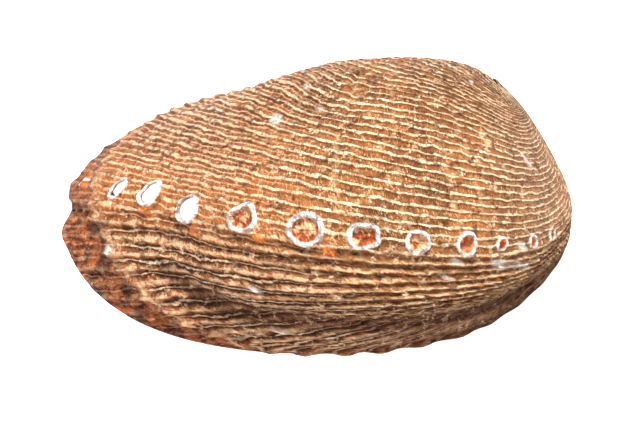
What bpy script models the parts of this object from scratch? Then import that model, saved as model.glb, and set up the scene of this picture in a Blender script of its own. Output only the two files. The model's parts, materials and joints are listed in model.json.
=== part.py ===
"""Abalone shell, one solid grown as one piece, lying on its rim with the hollow side down.

Metres, +Z up. The open pores are at -X, the spire is at +X and the row of pores faces -Y.
The surface is drawn in coil coordinates: phi runs across the lip, from the suture round to the
margin, and beta runs back in time, from the present lip towards the spire.
"""
import bmesh
import bpy
import numpy as np

MM = 0.001
DEG = np.pi / 180

# The dome: its centre on the rest plane, and its radii from there, in mm
CENTRE = np.array([-3.0, 0.0, 0.0])
RIM_RADII = (43.0, 38.6, 35.6, 31.7, 31.2, 38.4, 46.7, 43.7, 36.0, 32.4, 34.6, 40.2)
WALL_RADII = (37.9, 36.2, 29.4, 25.8, 23.8, 28.0, 31.4, 33.1, 37.0, 38.5, 39.6, 41.0)
CROWN_RADII = (32.9, 26.7, 25.1, 27.1, 32.0, 34.2)
TOP_RADIUS = 25.3
WALL_RISE = 30 * DEG
CROWN_RISE = 60 * DEG

# The coil that the cords and growth lines follow
APEX = np.array([30.8, 14.5, 16.0])
COIL_TILT = 45.5 * DEG
COIL_HEADING = 61.4 * DEG
GROWTH = 0.40
LIP_HEADINGS = np.array([45, 65, 90, 120, 145, 165, 180, 195, 215, 240, 265, 285, 305]) * DEG
LIP_RADII = (2.7, 8.4, 22.3, 41.3, 52.3, 70.9, 89.5, 90.6, 69.5, 42.5, 24.1, 13.5, 7.6)
LIP_START_HEIGHTS = (-0.8, 1.5)
SUTURE = 45 * DEG
ATTACH = 193 * DEG
LAG = 242.4 * DEG
WIDEST = 285 * DEG

# The grid of the solid
HEADINGS = 108
RINGS = 29

# Relief, in mm
RIB_HEIGHT = 0.6
RIB_EVERY = 5.5 * DEG
GROWTH_STEP = 0.35
SHOULDER = 0.7
FOLD_DEPTH = 2.0
FOLD_WIDTH = 3.2 * DEG
WALL = 2.1
LIP_WALL = 1.5
SHELF_WALL = 4.2

# The row of pores: place back along the row in degrees, length and width over the rim in mm
PORE_LINE = 184.5 * DEG
OPEN_PORES = ((12.0, 3.0, 4.4), (20.5, 4.0, 4.8), (31.0, 4.6, 4.6))
SEALED_PORES = (
    (46.5, 6.0, 5.4), (59.5, 6.6, 6.2), (72.0, 6.0, 5.2), (85.0, 5.2, 4.8), (98.5, 4.2, 4.0),
    (110.5, 2.8, 2.6), (124.5, 2.6, 2.4), (139.0, 2.4, 2.2),
)
PORE_SIDES = 14
TINY_EDGE = 0.04
NEEDLE = 0.02


def smooth_step(value):
    """0 below 0, 1 above 1 and an even slope between."""
    t = np.clip(value, 0, 1)
    return t * t * (3 - 2 * t)


def spline(x, knots, values):
    """A natural cubic through the knots."""
    count = len(knots)
    step = np.diff(knots)
    matrix = np.eye(count)
    right = np.zeros(count)
    for i in range(1, count - 1):
        matrix[i, i - 1:i + 2] = step[i - 1], 2 * (step[i - 1] + step[i]), step[i]
        right[i] = 6 * ((values[i + 1] - values[i]) / step[i] - (values[i] - values[i - 1]) / step[i - 1])
    bend = np.linalg.solve(matrix, right)
    x = np.asarray(x, float)
    i = np.clip(np.searchsorted(knots, x) - 1, 0, count - 2)
    before, after, width = x - knots[i], knots[i + 1] - x, step[i]
    low = bend[i] * after**3 / (6 * width) + (values[i] / width - bend[i] * width / 6) * after
    return low + bend[i + 1] * before**3 / (6 * width) + (values[i + 1] / width - bend[i + 1] * width / 6) * before


# The dome as radii over a disc of directions, whose rim is the rest plane
def direction_of(disc):
    square = (disc**2).sum(-1)
    return np.stack([2 * disc[..., 0], 2 * disc[..., 1], 1 - square], -1) / (1 + square)[..., None]


def disc_of(points):
    way = points - CENTRE
    way = way / np.linalg.norm(way, axis=-1, keepdims=True)
    return way[..., :2] / (1 + way[..., 2:])


def ring_on_disc(radii, rise):
    headings = np.arange(len(radii)) * 2 * np.pi / len(radii)
    size = np.tan((np.pi / 2 - rise) / 2)
    return size * np.stack([np.cos(headings), np.sin(headings)], -1)


CONTROLS = np.vstack([
    ring_on_disc(RIM_RADII, 0), ring_on_disc(WALL_RADII, WALL_RISE),
    ring_on_disc(CROWN_RADII, CROWN_RISE), [[0.0, 0.0]],
])


def kernel(disc):
    far = np.linalg.norm(disc[:, None] - CONTROLS, axis=-1)
    return np.hstack([far**3, np.ones((len(disc), 1)), disc])


def dome_weights():
    count = len(CONTROLS)
    matrix = np.zeros((count + 3, count + 3))
    matrix[:count] = kernel(CONTROLS)
    matrix[count:, :count] = matrix[:count, count:].T
    radii = RIM_RADII + WALL_RADII + CROWN_RADII + (TOP_RADIUS, 0, 0, 0)
    return np.linalg.solve(matrix, np.array(radii))


WEIGHTS = dome_weights()


def dome_radius(disc):
    return (kernel(disc.reshape(-1, 2)) @ WEIGHTS).reshape(disc.shape[:-1])


# The coil, seen from the dome's centre
def coil(phi, beta):
    """The grown surface: the lip, shrunk and turned back about the tilted axis."""
    phi, beta = np.broadcast_arrays(np.asarray(phi, float), np.asarray(beta, float))
    heights = np.zeros(len(LIP_HEADINGS))
    heights[:2] = LIP_START_HEIGHTS
    radius = np.exp(spline(phi, LIP_HEADINGS, np.log(LIP_RADII)))
    height = spline(phi, LIP_HEADINGS, heights) - APEX[2]
    lip = np.stack([radius * np.cos(phi), radius * np.sin(phi), height], -1)
    flat = np.sin(COIL_TILT)
    axis = np.array([flat * np.cos(COIL_HEADING), flat * np.sin(COIL_HEADING), np.cos(COIL_TILT)])
    c, s = np.cos(beta)[..., None], np.sin(beta)[..., None]
    across = np.cross(np.broadcast_to(axis, lip.shape), lip)
    turned = lip * c + across * s + axis * (lip @ axis)[..., None] * (1 - c)
    return APEX + np.exp(-GROWTH * beta)[..., None] * turned


def margin_phi(beta):
    """Where each growth line turns under at the left margin: the widest point seen from the centre."""
    phi = np.arange(ATTACH, WIDEST, 0.5 * DEG)
    wide = np.linalg.norm(disc_of(coil(phi[:, None], np.asarray(beta)[None, :])), axis=-1)
    found = phi[wide.argmax(0)]
    found[beta < 4 * DEG] = found[np.searchsorted(beta, 4 * DEG)]
    line = np.polynomial.Polynomial.fit(beta, found, 7)(beta)
    closing = smooth_step(beta / LAG * 8 - 7)
    return np.clip(line * (1 - closing) + ATTACH * closing, ATTACH, WIDEST)


def rim_reach():
    """How far out the grown surface reaches on the disc at each heading, which the rim then takes as 1."""
    beta = np.linspace(0, LAG, 120)
    edge = margin_phi(beta)
    lip = disc_of(coil(np.linspace(SUTURE, edge[0], 200), 0.0))
    loop = np.vstack([lip, disc_of(coil(edge, beta))])
    heading = np.arctan2(loop[:, 1], loop[:, 0])
    reach = np.linalg.norm(loop, axis=-1)
    table = np.arange(-180, 181, 3) * DEG
    off = (heading[None] - table[:, None] + np.pi) % (2 * np.pi) - np.pi
    share = np.exp(-0.5 * (off / (3 * DEG))**2) * np.exp(12 * (reach - 1))
    return table, (share * reach).sum(1) / share.sum(1)


TABLE, REACH = rim_reach()


def spread(disc):
    """Stretches the disc of the coil so that its edge lies on the rim."""
    heading = np.arctan2(disc[..., 1], disc[..., 0])
    reach = np.interp(heading, TABLE, REACH)
    share = np.linalg.norm(disc, axis=-1) / reach
    return disc * (1 + (1 / reach - 1) * share**4)[..., None]


# Relief
def fold(disc):
    """The groove under the row of pores, and the swelling above it, in mm outwards."""
    way = direction_of(disc)
    heading = np.degrees(np.arctan2(way[..., 1], way[..., 0])) % 360
    rise = np.arcsin(np.clip(way[..., 2], -1, 1))
    line = np.interp(heading, (205, 233, 262, 290, 318, 340), (12, 17, 20, 16.5, 8, 1)) * DEG
    reach = smooth_step((heading - 205) / 35) * smooth_step((345 - heading) / 18)
    off = (rise - line) / FOLD_WIDTH
    groove = -FOLD_DEPTH * np.exp(-off**2)
    swell = 0.9 * np.exp(-((off - 2.6) / 1.6)**2)
    low = smooth_step(np.degrees(rise) / 4)
    return reach * (groove + swell) * low


def relief(phi, beta):
    """What stands out by place on the coil: coarse cords, the pore row's shoulder, the suture, growth steps."""
    size = np.exp(-GROWTH * beta)
    cords = RIB_HEIGHT * (0.5 + 0.5 * np.cos(phi / RIB_EVERY * 2 * np.pi))
    row = SHOULDER * np.exp(-((phi - PORE_LINE) / (6 * DEG))**2)
    below = -0.8 * np.exp(-((phi - PORE_LINE - 9 * DEG) / (4 * DEG))**2)
    channel = -1.0 * np.exp(-((phi - SUTURE) / (14 * DEG))**2)
    last = 0.9 * np.exp(-((beta - 9.5 * DEG) / (2.4 * DEG))**2)
    steps = GROWTH_STEP * np.cos(beta / (22 * DEG) * 2 * np.pi)
    return (cords + row + below + channel + steps) * size + last


def lip_outline(phi, beta):
    """The dent and the two bumps where the pore row meets the lip, in mm outwards."""
    off = np.degrees(phi - PORE_LINE)
    dent = -1.3 * np.exp(-((off - 4.8) / 2.2)**2)
    bumps = 0.5 * np.exp(-((off - 0.8) / 1.5)**2) + 0.5 * np.exp(-((off - 9.5) / 1.8)**2)
    return (dent + bumps) * np.clip(1 - beta / (7 * DEG), 0, 1)


def seen_coil():
    """Spots of the coil that lie open to view, as places on the disc with their phi and beta."""
    beta = np.arange(0, 500, 2.0) * DEG
    phi = np.arange(45, 285, 1.5) * DEG
    grown = beta <= LAG
    edge = np.full(len(beta), ATTACH)
    edge[grown] = margin_phi(beta[grown])
    phi, beta, edge = np.broadcast_arrays(phi[:, None], beta[None, :], edge[None, :])
    seen = phi <= edge
    phi, beta = phi[seen], beta[seen]
    return spread(disc_of(coil(phi, beta))), phi, beta


COIL_DISC, COIL_PHI, COIL_BETA = seen_coil()


def raised(disc):
    """The relief at spots of the disc, read from the nearest spot of the coil."""
    far = ((disc[:, None] - COIL_DISC[None])**2).sum(-1)
    nearest = far.argmin(1)
    return COIL_PHI[nearest], COIL_BETA[nearest]


# The outer skin, in rings from the rim up to the top
def build_outer():
    heading = np.arange(HEADINGS) * 2 * np.pi / HEADINGS
    points = []
    for size in np.linspace(1, 0, RINGS + 1)[:-1]:
        disc = size * np.stack([np.cos(heading), np.sin(heading)], -1)
        phi, beta = raised(disc)
        flat = CENTRE + direction_of(disc) * dome_radius(disc)[:, None]
        out = relief(phi, beta) * smooth_step(flat[:, 2] / 3.0) + fold(disc)
        if size == 1:
            out = out + lip_outline(phi, beta)
        points.append(flat + direction_of(disc) * out[:, None])
    top = CENTRE + np.array([[0, 0, TOP_RADIUS]])
    points = np.vstack(points + [top])
    faces = []
    for k in range(RINGS):
        for i in range(HEADINGS):
            after = (i + 1) % HEADINGS
            low, high = k * HEADINGS, (k + 1) * HEADINGS
            if k == RINGS - 1:
                faces.append((low + i, low + after, high))
            else:
                faces.append((low + i, low + after, high + after, high + i))
    return points, faces, list(range(HEADINGS))


# The hollow
def build_inner(rim_points):
    """Rings from the inside edge of the rim up to the roof of the hollow."""
    way = rim_points - CENTRE
    heading = np.arctan2(way[:, 1], way[:, 0])
    degrees = np.degrees(heading) % 360
    shelf = smooth_step((degrees - 205) / 30) * smooth_step((350 - degrees) / 30)
    edge_wall = LIP_WALL + (SHELF_WALL - LIP_WALL) * shelf
    rings = []
    rises = np.array([0, 7, 15, 25, 37, 50, 64, 78]) * DEG
    for rise in rises:
        size = np.tan((np.pi / 2 - rise) / 2)
        disc = size * np.stack([np.cos(heading), np.sin(heading)], -1)
        outside = dome_radius(disc) + fold(disc) + lip_dent(heading, rise)
        mix = smooth_step(rise / (14 * DEG))
        inside = outside - (edge_wall * (1 - mix) + WALL * mix)
        rings.append(CENTRE + direction_of(disc) * inside[:, None])
    roof = CENTRE + np.array([0, 0, TOP_RADIUS - WALL])
    return rings, roof


def lip_dent(heading, rise):
    """The inside follows the dent in the lip near the rim."""
    off = (np.degrees(heading) % 360 - 184) / 6
    return -0.6 * np.exp(-off**2) * max(0.0, 1 - rise / (10 * DEG))


def shell_mesh():
    points, faces, loop = build_outer()
    rings, roof = build_inner(points[loop])
    count = len(loop)
    start = len(points)
    points = np.vstack([points] + rings + [roof[None]])
    inner = [list(range(start + k * count, start + (k + 1) * count)) for k in range(len(rings))]
    ladders = [loop] + inner
    for low, high in zip(ladders, ladders[1:]):
        for i in range(count):
            after = (i + 1) % count
            faces.append((low[i], low[after], high[after], high[i]))
    last = inner[-1]
    for i in range(count):
        faces.append((last[i], last[(i + 1) % count], len(points) - 1))
    return points, faces


# Pores
def on_row(place):
    """A point of the pore row with its outward direction and its direction along the row."""
    beta = np.array([place - 1.0, place, place + 1.0]) * DEG
    disc = spread(disc_of(coil(np.full(3, PORE_LINE), beta)))
    point = CENTRE + direction_of(disc) * dome_radius(disc)[:, None]
    point = point + direction_of(disc) * relief(np.full(3, PORE_LINE), beta)[:, None]
    along = point[2] - point[0]
    along /= np.linalg.norm(along)
    side = spread(disc_of(coil(PORE_LINE + np.array([-1.0, 1.0]) * DEG, beta[1])))
    two = CENTRE + direction_of(side) * dome_radius(side)[:, None]
    out = np.cross(two[1] - two[0], along)
    out /= np.linalg.norm(out)
    if out @ (point[1] - CENTRE) < 0:
        out = -out
    return point[1], out, along


def oval_post(mesh, place, length, width, base, top, grow=1.0):
    """A closed oval post from base to top, in mm along the outward direction at a pore."""
    centre, out, along = on_row(place)
    side = np.cross(out, along)
    rings = []
    for height, scale in ((base, grow), (top, 1.0)):
        ring = []
        for k in range(PORE_SIDES):
            turn = 2 * np.pi * (k + 0.5) / PORE_SIDES
            flat = along * np.cos(turn) * length / 2 + side * np.sin(turn) * width / 2
            ring.append(mesh.verts.new((centre + out * height + flat * scale) * MM))
        rings.append(ring)
    for k in range(PORE_SIDES):
        after = (k + 1) % PORE_SIDES
        mesh.faces.new((rings[0][k], rings[0][after], rings[1][after], rings[1][k]))
    mesh.faces.new(rings[1])
    mesh.faces.new(rings[0][::-1])


def object_from(name, mesh):
    bmesh.ops.recalc_face_normals(mesh, faces=mesh.faces)
    if mesh.calc_volume(signed=True) < 0:
        bmesh.ops.reverse_faces(mesh, faces=mesh.faces)
    data = bpy.data.meshes.new(name)
    mesh.to_mesh(data)
    mesh.free()
    thing = bpy.data.objects.new(name, data)
    bpy.context.scene.collection.objects.link(thing)
    return thing


def pore_rims():
    mesh = bmesh.new()
    for place, length, width in SEALED_PORES:
        oval_post(mesh, place, length, width, -1.3, 0.25 + 0.08 * length, 1.35)
    return object_from("pore_rims", mesh)


def pore_cutters():
    mesh = bmesh.new()
    for place, length, width in SEALED_PORES:
        oval_post(mesh, place, length * 0.62, width * 0.58, -0.55, 4.0)
    for place, length, width in OPEN_PORES:
        oval_post(mesh, place, length * 0.72, width * 0.76, -6.0, 4.0)
    return object_from("pore_cutters", mesh)


def shell_material():
    material = bpy.data.materials.new("brown_shell")
    material.use_nodes = True
    shader = material.node_tree.nodes["Principled BSDF"]
    shader.inputs["Base Color"].default_value = (0.34, 0.17, 0.08, 1)
    shader.inputs["Roughness"].default_value = 0.7
    shader.inputs["Metallic"].default_value = 0.0
    return material


def without_needles(mesh):
    """Tiny edges closed up, then each triangle too thin to matter loses its long edge to its neighbour."""
    bmesh.ops.remove_doubles(mesh, verts=mesh.verts, dist=TINY_EDGE * MM)
    bmesh.ops.triangulate(mesh, faces=mesh.faces)
    for sweep in range(4):
        thin = set()
        for face in mesh.faces:
            longest = max(face.edges, key=lambda edge: edge.calc_length())
            if 2 * face.calc_area() < NEEDLE * MM * longest.calc_length():
                thin.add(longest)
        for edge in thin:
            if edge.is_valid:
                bmesh.utils.edge_rotate(edge)
    return mesh


def build_shell():
    points, faces = shell_mesh()
    mesh = bmesh.new()
    corners = [mesh.verts.new(point * MM) for point in points]
    for face in faces:
        mesh.faces.new([corners[i] for i in face])
    bmesh.ops.delete(mesh, geom=[v for v in mesh.verts if not v.link_faces], context="VERTS")
    blank = object_from("blank", without_needles(mesh))
    helpers = [blank]
    for operation, helper in (("UNION", pore_rims()), ("DIFFERENCE", pore_cutters())):
        change = blank.modifiers.new(helper.name, "BOOLEAN")
        change.operation = operation
        change.solver = "EXACT"
        change.object = helper
        helpers.append(helper)
    graph = bpy.context.evaluated_depsgraph_get()
    mesh = bmesh.new()
    mesh.from_mesh(bpy.data.meshes.new_from_object(blank.evaluated_get(graph)))
    for helper in helpers:
        bpy.data.objects.remove(helper)
    mesh = without_needles(mesh)
    # the origin goes to the middle of the footprint
    spots = np.array([corner.co for corner in mesh.verts])
    middle = (spots.min(0) + spots.max(0)) / 2
    bmesh.ops.translate(mesh, verts=mesh.verts, vec=(-middle[0], -middle[1], -spots[:, 2].min()))
    shell = object_from("shell", mesh)
    shell.data.materials.clear()
    shell.data.materials.append(shell_material())
    return shell


def clear_scene():
    for thing in list(bpy.data.objects):
        bpy.data.objects.remove(thing)


clear_scene()
built = build_shell()
print(built.name, len(built.data.polygons), "triangles")
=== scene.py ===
# %% [markdown]
# An abalone shell lying on its rim, hollow side down. The animal built it as one piece, adding a
# strip of shell along the lip as it grew. The fixed solid gives the form and the size. This script
# grows the fine skin over it: the spiral cords, the growth lines, the row of pores and the pearl.
# Lengths are in mm and become metres only when a mesh is made.
# %% Load the solid
import bpy
import json
import numpy as np
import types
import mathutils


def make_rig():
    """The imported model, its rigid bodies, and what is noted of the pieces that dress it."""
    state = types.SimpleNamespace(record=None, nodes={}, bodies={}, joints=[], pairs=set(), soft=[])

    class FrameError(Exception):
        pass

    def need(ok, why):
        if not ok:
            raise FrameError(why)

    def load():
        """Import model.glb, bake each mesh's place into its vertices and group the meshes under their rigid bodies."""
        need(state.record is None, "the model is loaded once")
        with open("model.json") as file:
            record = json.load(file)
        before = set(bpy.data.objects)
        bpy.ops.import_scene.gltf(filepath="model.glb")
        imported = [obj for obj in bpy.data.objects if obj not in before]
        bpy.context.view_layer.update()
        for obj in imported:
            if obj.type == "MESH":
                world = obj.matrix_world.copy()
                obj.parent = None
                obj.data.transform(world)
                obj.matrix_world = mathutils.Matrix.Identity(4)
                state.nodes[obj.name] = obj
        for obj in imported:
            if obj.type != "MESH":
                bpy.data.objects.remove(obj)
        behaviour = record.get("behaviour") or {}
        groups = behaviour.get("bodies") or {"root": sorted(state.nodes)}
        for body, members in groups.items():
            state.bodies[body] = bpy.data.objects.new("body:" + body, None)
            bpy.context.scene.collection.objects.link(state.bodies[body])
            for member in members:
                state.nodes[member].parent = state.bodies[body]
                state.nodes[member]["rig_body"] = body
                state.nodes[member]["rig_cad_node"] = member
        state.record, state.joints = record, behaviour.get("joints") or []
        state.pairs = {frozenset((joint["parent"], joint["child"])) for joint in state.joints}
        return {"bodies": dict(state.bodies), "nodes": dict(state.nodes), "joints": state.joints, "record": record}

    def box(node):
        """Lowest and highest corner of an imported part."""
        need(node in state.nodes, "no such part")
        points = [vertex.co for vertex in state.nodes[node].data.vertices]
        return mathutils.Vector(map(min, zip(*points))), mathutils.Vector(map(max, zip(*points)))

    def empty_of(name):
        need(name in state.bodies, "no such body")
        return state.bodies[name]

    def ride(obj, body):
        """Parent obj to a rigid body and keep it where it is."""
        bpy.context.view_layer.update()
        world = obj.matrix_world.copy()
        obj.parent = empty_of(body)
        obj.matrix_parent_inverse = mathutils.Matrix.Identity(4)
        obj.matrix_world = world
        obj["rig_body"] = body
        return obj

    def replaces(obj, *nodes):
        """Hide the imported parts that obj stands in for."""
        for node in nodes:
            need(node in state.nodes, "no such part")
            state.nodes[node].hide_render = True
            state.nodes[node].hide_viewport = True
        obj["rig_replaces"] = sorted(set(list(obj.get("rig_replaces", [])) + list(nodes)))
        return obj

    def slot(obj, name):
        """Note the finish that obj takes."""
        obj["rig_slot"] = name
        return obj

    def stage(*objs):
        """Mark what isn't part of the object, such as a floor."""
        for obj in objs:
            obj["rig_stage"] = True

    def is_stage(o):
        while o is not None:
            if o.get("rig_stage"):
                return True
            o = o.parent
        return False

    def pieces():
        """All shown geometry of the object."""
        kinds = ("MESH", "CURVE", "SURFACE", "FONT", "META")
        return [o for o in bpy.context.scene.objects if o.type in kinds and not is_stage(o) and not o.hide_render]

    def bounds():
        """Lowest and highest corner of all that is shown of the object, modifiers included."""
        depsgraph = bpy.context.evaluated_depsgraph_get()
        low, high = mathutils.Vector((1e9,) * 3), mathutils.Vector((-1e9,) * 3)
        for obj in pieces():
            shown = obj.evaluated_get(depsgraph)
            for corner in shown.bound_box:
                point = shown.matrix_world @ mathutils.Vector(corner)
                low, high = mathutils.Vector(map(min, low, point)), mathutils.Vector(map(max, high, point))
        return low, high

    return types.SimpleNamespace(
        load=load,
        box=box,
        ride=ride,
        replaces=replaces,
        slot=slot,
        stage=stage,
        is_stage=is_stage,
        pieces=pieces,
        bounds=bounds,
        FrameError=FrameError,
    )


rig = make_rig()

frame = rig.load()
start_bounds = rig.bounds()
MM = 0.001
DEG = np.pi / 180
print("the solid's box", [round(v / MM, 1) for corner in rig.box("shell") for v in corner])

# %% [markdown]
# The form. On the real shell the back is one low dome. It could be sculpted by hand, but here it
# has to agree with the solid, so it is made from the same few radii, measured from a point on the
# rest plane: a ring at the rim, one at 30 degrees, one at 60, and the top.
# %% Radii of the dome
CENTRE = np.array([-3.0, 0.0, 0.0])
MIDDLE = np.array([-5.032, -1.829, 0.0])
RIM_RADII = (43.0, 38.6, 35.6, 31.7, 31.2, 38.4, 46.7, 43.7, 36.0, 32.4, 34.6, 40.2)
WALL_RADII = (37.9, 36.2, 29.4, 25.8, 23.8, 28.0, 31.4, 33.1, 37.0, 38.5, 39.6, 41.0)
CROWN_RADII = (32.9, 26.7, 25.1, 27.1, 32.0, 34.2)
TOP_RADIUS = 25.3
WALL_RISE, CROWN_RISE = 30 * DEG, 60 * DEG
print("radii given:", len(RIM_RADII + WALL_RADII + CROWN_RADII) + 1)

# %% [markdown]
# Every direction from that point is a spot on a flat disc: the middle of the disc is straight up
# and its edge is the rim. Working on a disc avoids the pinch that latitude and longitude have at
# the top.
# %% Directions as spots on a disc


def smooth_step(value):
    t = np.clip(value, 0, 1)
    return t * t * (3 - 2 * t)


def direction_of(disc):
    square = (disc**2).sum(-1)
    return np.stack([2 * disc[..., 0], 2 * disc[..., 1], 1 - square], -1) / (1 + square)[..., None]


def disc_of(points):
    way = points - CENTRE
    way = way / np.linalg.norm(way, axis=-1, keepdims=True)
    return way[..., :2] / (1 + way[..., 2:])


def ring_on_disc(radii, rise):
    headings = np.arange(len(radii)) * 2 * np.pi / len(radii)
    size = np.tan((np.pi / 2 - rise) / 2)
    return size * np.stack([np.cos(headings), np.sin(headings)], -1)


print("straight up is", direction_of(np.zeros(2)))

# %% [markdown]
# A smooth surface is drawn through the radii. Each control spot pulls on the whole dome with the
# cube of its distance, which bends like a thin springy sheet and leaves no edges.
# %% The dome
CONTROLS = np.vstack([
    ring_on_disc(RIM_RADII, 0), ring_on_disc(WALL_RADII, WALL_RISE),
    ring_on_disc(CROWN_RADII, CROWN_RISE), [[0.0, 0.0]],
])


def kernel(disc):
    far = np.linalg.norm(disc[:, None] - CONTROLS, axis=-1)
    return np.hstack([far**3, np.ones((len(disc), 1)), disc])


def dome_weights():
    count = len(CONTROLS)
    matrix = np.zeros((count + 3, count + 3))
    matrix[:count] = kernel(CONTROLS)
    matrix[count:, :count] = matrix[:count, count:].T
    radii = RIM_RADII + WALL_RADII + CROWN_RADII + (TOP_RADIUS, 0, 0, 0)
    return np.linalg.solve(matrix, np.array(radii))


WEIGHTS = dome_weights()


def dome_radius(disc):
    return (kernel(disc.reshape(-1, 2)) @ WEIGHTS).reshape(disc.shape[:-1])


print("dome height in mm", round(float(dome_radius(np.zeros((1, 2)))[0]), 1))

# %% [markdown]
# The coil. The shell grows along its lip, each new strip a little larger and turned about a tilted
# axis. So each spot has two numbers: phi, how far across the lip it lies, and beta, how far back in
# time. Cords run with time and growth lines run across, so everything below is drawn in these two.
# %% Measures of the coil
APEX = np.array([30.8, 14.5, 16.0])
COIL_TILT = 45.5 * DEG
COIL_HEADING = 61.4 * DEG
GROWTH = 0.40
LIP_HEADINGS = np.array([45, 65, 90, 120, 145, 165, 180, 195, 215, 240, 265, 285, 305]) * DEG
LIP_RADII = (2.7, 8.4, 22.3, 41.3, 52.3, 70.9, 89.5, 90.6, 69.5, 42.5, 24.1, 13.5, 7.6)
LIP_START_HEIGHTS = (-0.8, 1.5)
SUTURE, ATTACH, WIDEST = 45 * DEG, 193 * DEG, 285 * DEG
LAG = 242.4 * DEG
ROW_LINE = 184.5 * DEG
print("one turn makes the shell", round(float(np.exp(GROWTH * 2 * np.pi)), 1), "times larger")

# %% A smooth line through the lip's radii


def spline(x, knots, values):
    """A natural cubic through the knots."""
    count = len(knots)
    step = np.diff(knots)
    slope = np.diff(values) / step
    matrix, right = np.eye(count), np.zeros(count)
    for i in range(1, count - 1):
        matrix[i, i - 1:i + 2] = step[i - 1], 2 * (step[i - 1] + step[i]), step[i]
        right[i] = 6 * (slope[i] - slope[i - 1])
    bend = np.linalg.solve(matrix, right)
    x = np.asarray(x, float)
    i = np.clip(np.searchsorted(knots, x) - 1, 0, count - 2)
    before, after, width = x - knots[i], knots[i + 1] - x, step[i]
    low = bend[i] * after**3 / (6 * width) + (values[i] / width - bend[i] * width / 6) * after
    high = bend[i + 1] * before**3 / (6 * width) + (values[i + 1] / width - bend[i + 1] * width / 6) * before
    return low + high


def coil(phi, beta):
    phi, beta = np.broadcast_arrays(np.asarray(phi, float), np.asarray(beta, float))
    heights = np.zeros(len(LIP_HEADINGS))
    heights[:2] = LIP_START_HEIGHTS
    radius = np.exp(spline(phi, LIP_HEADINGS, np.log(LIP_RADII)))
    height = spline(phi, LIP_HEADINGS, heights) - APEX[2]
    lip = np.stack([radius * np.cos(phi), radius * np.sin(phi), height], -1)
    flat = np.sin(COIL_TILT)
    axis = np.array([flat * np.cos(COIL_HEADING), flat * np.sin(COIL_HEADING), np.cos(COIL_TILT)])
    c, s = np.cos(beta)[..., None], np.sin(beta)[..., None]
    across = np.cross(np.broadcast_to(axis, lip.shape), lip)
    turned = lip * c + across * s + axis * (lip @ axis)[..., None] * (1 - c)
    return APEX + np.exp(-GROWTH * beta)[..., None] * turned


print("the lip's middle lies at", coil(np.pi, 0.0).round(1))

# %% [markdown]
# Each growth line turns under at the left margin, where it is widest as seen from the centre. That
# edge has to fall on the rim, so the disc of the coil is stretched a little, most at its edge.
# %% Margin and rim


def margin_phi(beta):
    """Where each growth line turns under at the left margin."""
    phi = np.arange(ATTACH, WIDEST, 0.5 * DEG)
    wide = np.linalg.norm(disc_of(coil(phi[:, None], np.asarray(beta)[None, :])), axis=-1)
    found = phi[wide.argmax(0)]
    found[beta < 4 * DEG] = found[np.searchsorted(beta, 4 * DEG)]
    line = np.polynomial.Polynomial.fit(beta, found, 7)(beta)
    closing = smooth_step(beta / LAG * 8 - 7)
    return np.clip(line * (1 - closing) + ATTACH * closing, ATTACH, WIDEST)


def rim_reach():
    """How far out on the disc the coil's edge lies, for each heading."""
    beta = np.linspace(0, LAG, 120)
    edge = margin_phi(beta)
    lip = disc_of(coil(np.linspace(SUTURE, edge[0], 200), 0.0))
    loop = np.vstack([lip, disc_of(coil(edge, beta))])
    heading = np.arctan2(loop[:, 1], loop[:, 0])
    reach = np.linalg.norm(loop, axis=-1)
    table = np.arange(-180, 181, 3) * DEG
    off = (heading[None] - table[:, None] + np.pi) % (2 * np.pi) - np.pi
    share = np.exp(-0.5 * (off / (3 * DEG))**2) * np.exp(12 * (reach - 1))
    return table, (share * reach).sum(1) / share.sum(1)


TABLE, REACH = rim_reach()


def spread(disc):
    """Stretches the disc of the coil so that its edge lies on the rim."""
    reach = np.interp(np.arctan2(disc[..., 1], disc[..., 0]), TABLE, REACH)
    share = np.linalg.norm(disc, axis=-1) / reach
    return disc * (1 + (1 / reach - 1) * share**4)[..., None]


print("the lip runs over", round(float((WIDEST - SUTURE) / DEG)), "degrees of heading")

# %% [markdown]
# The cords. The real back has thin raised cords above the row of pores and thick rope-like ones
# below it. They are spaced evenly along the lip, so they are numbered by length along it and each
# stands at a whole number. A slow wander, different for each, keeps them from looking ruled.
# %% Counting the cords
CORDS_ABOVE = 34
CORDS_BELOW = 24


def length_table():
    phi = np.linspace(SUTURE, WIDEST, 500)
    step = np.linalg.norm(np.diff(coil(phi, 1.0), axis=0), axis=-1)
    return phi, np.concatenate([[0], np.cumsum(step)])


PHI_TABLE, LENGTH_TABLE = length_table()
ROW_LENGTH = np.interp(ROW_LINE, PHI_TABLE, LENGTH_TABLE)


def cord_number(phi):
    """Counts the cords from the suture to the row, then on from the row to the margin."""
    run = np.interp(phi, PHI_TABLE, LENGTH_TABLE)
    below = CORDS_ABOVE + CORDS_BELOW * (run - ROW_LENGTH) / (LENGTH_TABLE[-1] - ROW_LENGTH)
    return np.where(run < ROW_LENGTH, CORDS_ABOVE * run / ROW_LENGTH, below)


print("cords:", CORDS_ABOVE, "above the row and", CORDS_BELOW, "below it")

# %% Height of the cords
THREAD_HEIGHT, ROPE_HEIGHT = 0.30, 0.8
SECOND_THREAD, SECOND_ROPE = 0.12, 0.15


def waver(number, beta):
    """A slow sideways wander, a different one for each cord."""
    turn = np.degrees(beta)
    return (0.16 * np.sin(turn / 7.3 + number * 1.9) + 0.11 * np.sin(turn / 3.1 + number * 4.7)
            + 0.10 * np.sin(turn / 15.0 - number * 0.8) + 0.07 * np.sin(turn / 1.2 + number * 2.9))


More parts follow.
